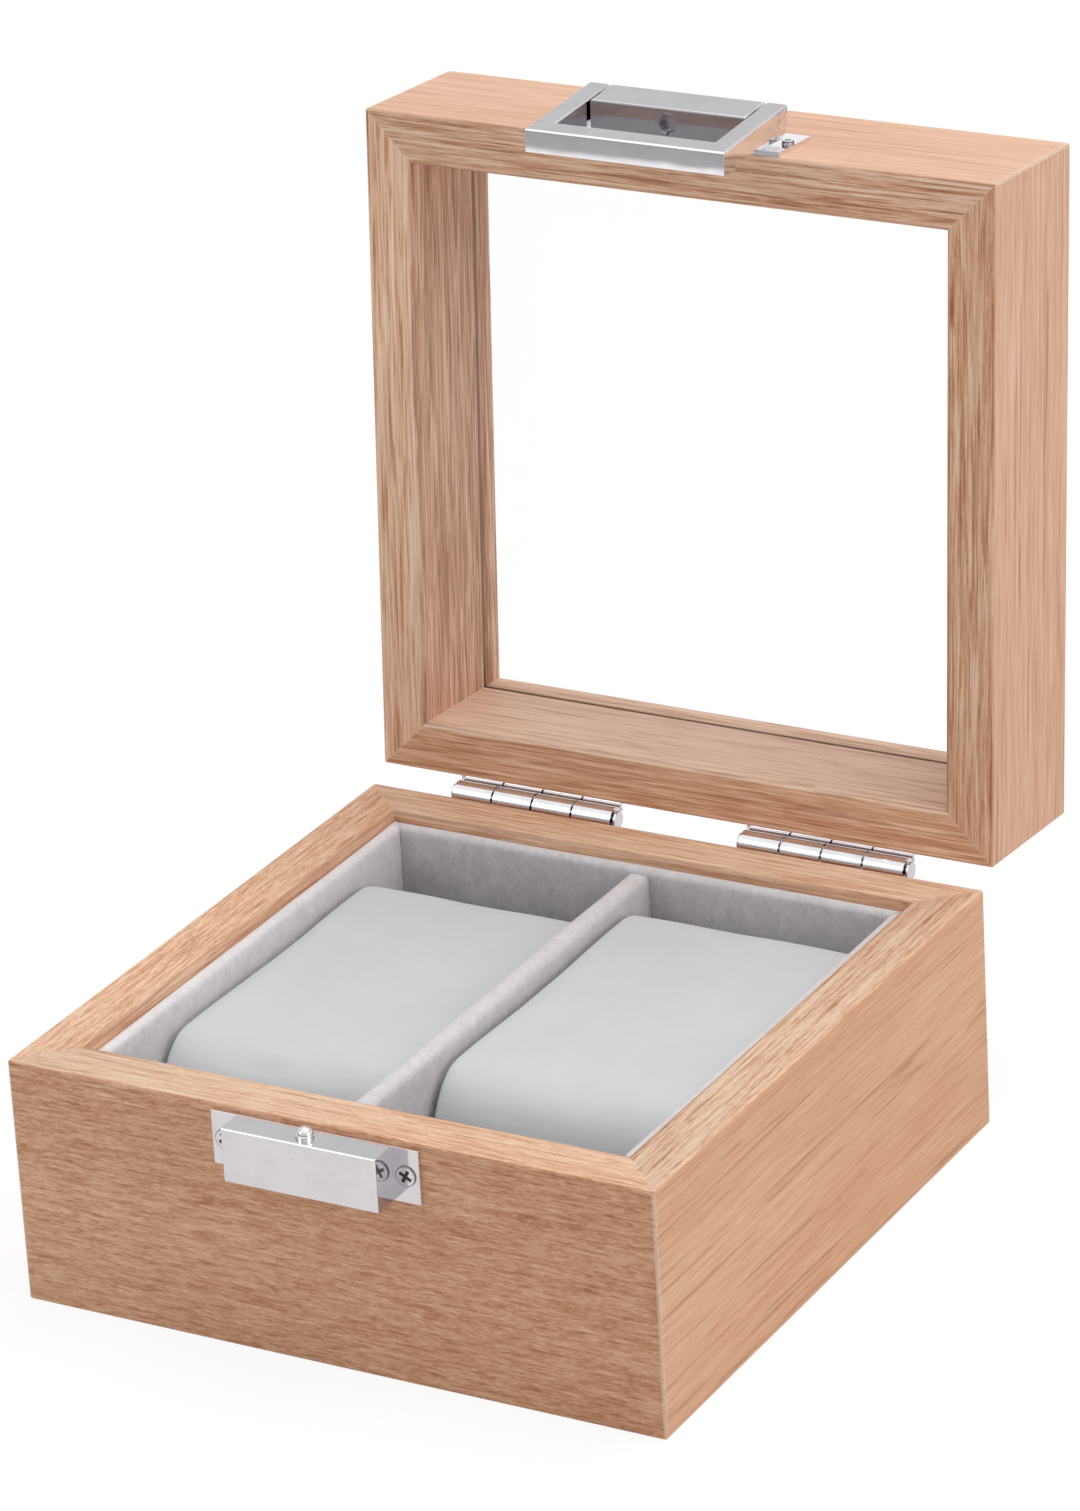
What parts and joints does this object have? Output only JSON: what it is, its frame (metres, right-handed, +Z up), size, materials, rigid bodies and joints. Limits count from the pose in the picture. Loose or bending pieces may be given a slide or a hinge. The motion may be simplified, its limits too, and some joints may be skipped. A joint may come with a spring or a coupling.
{
  "type": "watch box",
  "caption": "Open square watch box with a deep glazed lid on hinges, mitred wood-grain case, grey velvet lining with divider, suede pillows and a chrome snap clasp with a swinging hasp.",
  "frame": {"origin": "centre of the underside, where the box rests", "axes": "+X to the right seen from the clasp, +Y to the back where the hinges are, +Z up"},
  "size_m": [0.125, 0.1744, 0.1799],
  "materials": {
    "oak_grain": "light oak-grain veneer, satin, grain along each board",
    "bottom_board": "plain fibreboard",
    "felt": "thin felt",
    "velvet": "short-pile grey velvet on card",
    "suede": "pale grey suede cloth",
    "foam": "soft foam",
    "clear_glass": "clear polished glass",
    "chrome": "polished chrome plate",
    "spring_steel": "plain spring steel"
  },
  "bodies": {
    "base": {"base_front_board": "oak_grain", "base_back_board": "oak_grain", "base_left_board": "oak_grain", "base_right_board": "oak_grain", "base_bottom_panel": "bottom_board", "underside_felt": "felt", "lining_front": "velvet", "lining_back": "velvet", "lining_left": "velvet", "lining_right": "velvet", "lining_floor": "velvet", "centre_divider": "velvet", "hinge_left_base_leaf": "chrome", "hinge_right_base_leaf": "chrome", "hinge_left_pin": "chrome", "hinge_right_pin": "chrome", "hinge_base_screws": "chrome", "catch_plate": "chrome", "catch_block": "chrome", "catch_screws": "chrome", "catch_spring": "spring_steel"},
    "lid": {"lid_front_rail": "oak_grain", "lid_back_rail": "oak_grain", "lid_left_rail": "oak_grain", "lid_right_rail": "oak_grain", "lid_glass": "clear_glass", "hinge_left_lid_leaf": "chrome", "hinge_right_lid_leaf": "chrome", "hinge_lid_screws": "chrome", "hasp_plate": "chrome", "hasp_block": "chrome", "hasp_socket": "chrome", "hasp_pin": "chrome", "hasp_screws": "chrome"},
    "hasp": {"hasp_frame": "chrome"},
    "catch_ball": {"catch_ball": "chrome"},
    "pillow_left": {"pillow_left_cover": "suede", "pillow_left_core": "foam"},
    "pillow_right": {"pillow_right_cover": "suede", "pillow_right_core": "foam"}
  },
  "joints": [
    {"name": "lid_hinge", "type": "hinge", "parent": "base", "child": "lid", "pos_m": [0, 0.0655, 0.0455], "axis": [-1, 0, 0], "range_deg": [-94, 0]},
    {"name": "hasp_pivot", "type": "hinge", "parent": "lid", "child": "hasp", "pos_m": [-0.0012, 0.08112, 0.17708], "axis": [-1, 0, 0], "range_deg": [0, 100]},
    {"name": "catch_ball_press", "type": "slide", "parent": "base", "child": "catch_ball", "axis": [0, 0, 1], "range_m": [-0.0012, 0], "stiffness_N_per_m": 400, "springref_m": 0.0008, "deforming": ["catch_spring"]},
    {"name": "pillow_left_lift", "type": "slide", "parent": "base", "child": "pillow_left", "axis": [0, 0, 1], "range_m": [0, 0.045]},
    {"name": "pillow_right_lift", "type": "slide", "parent": "base", "child": "pillow_right", "axis": [0, 0, 1], "range_m": [0, 0.045]}
  ]
}
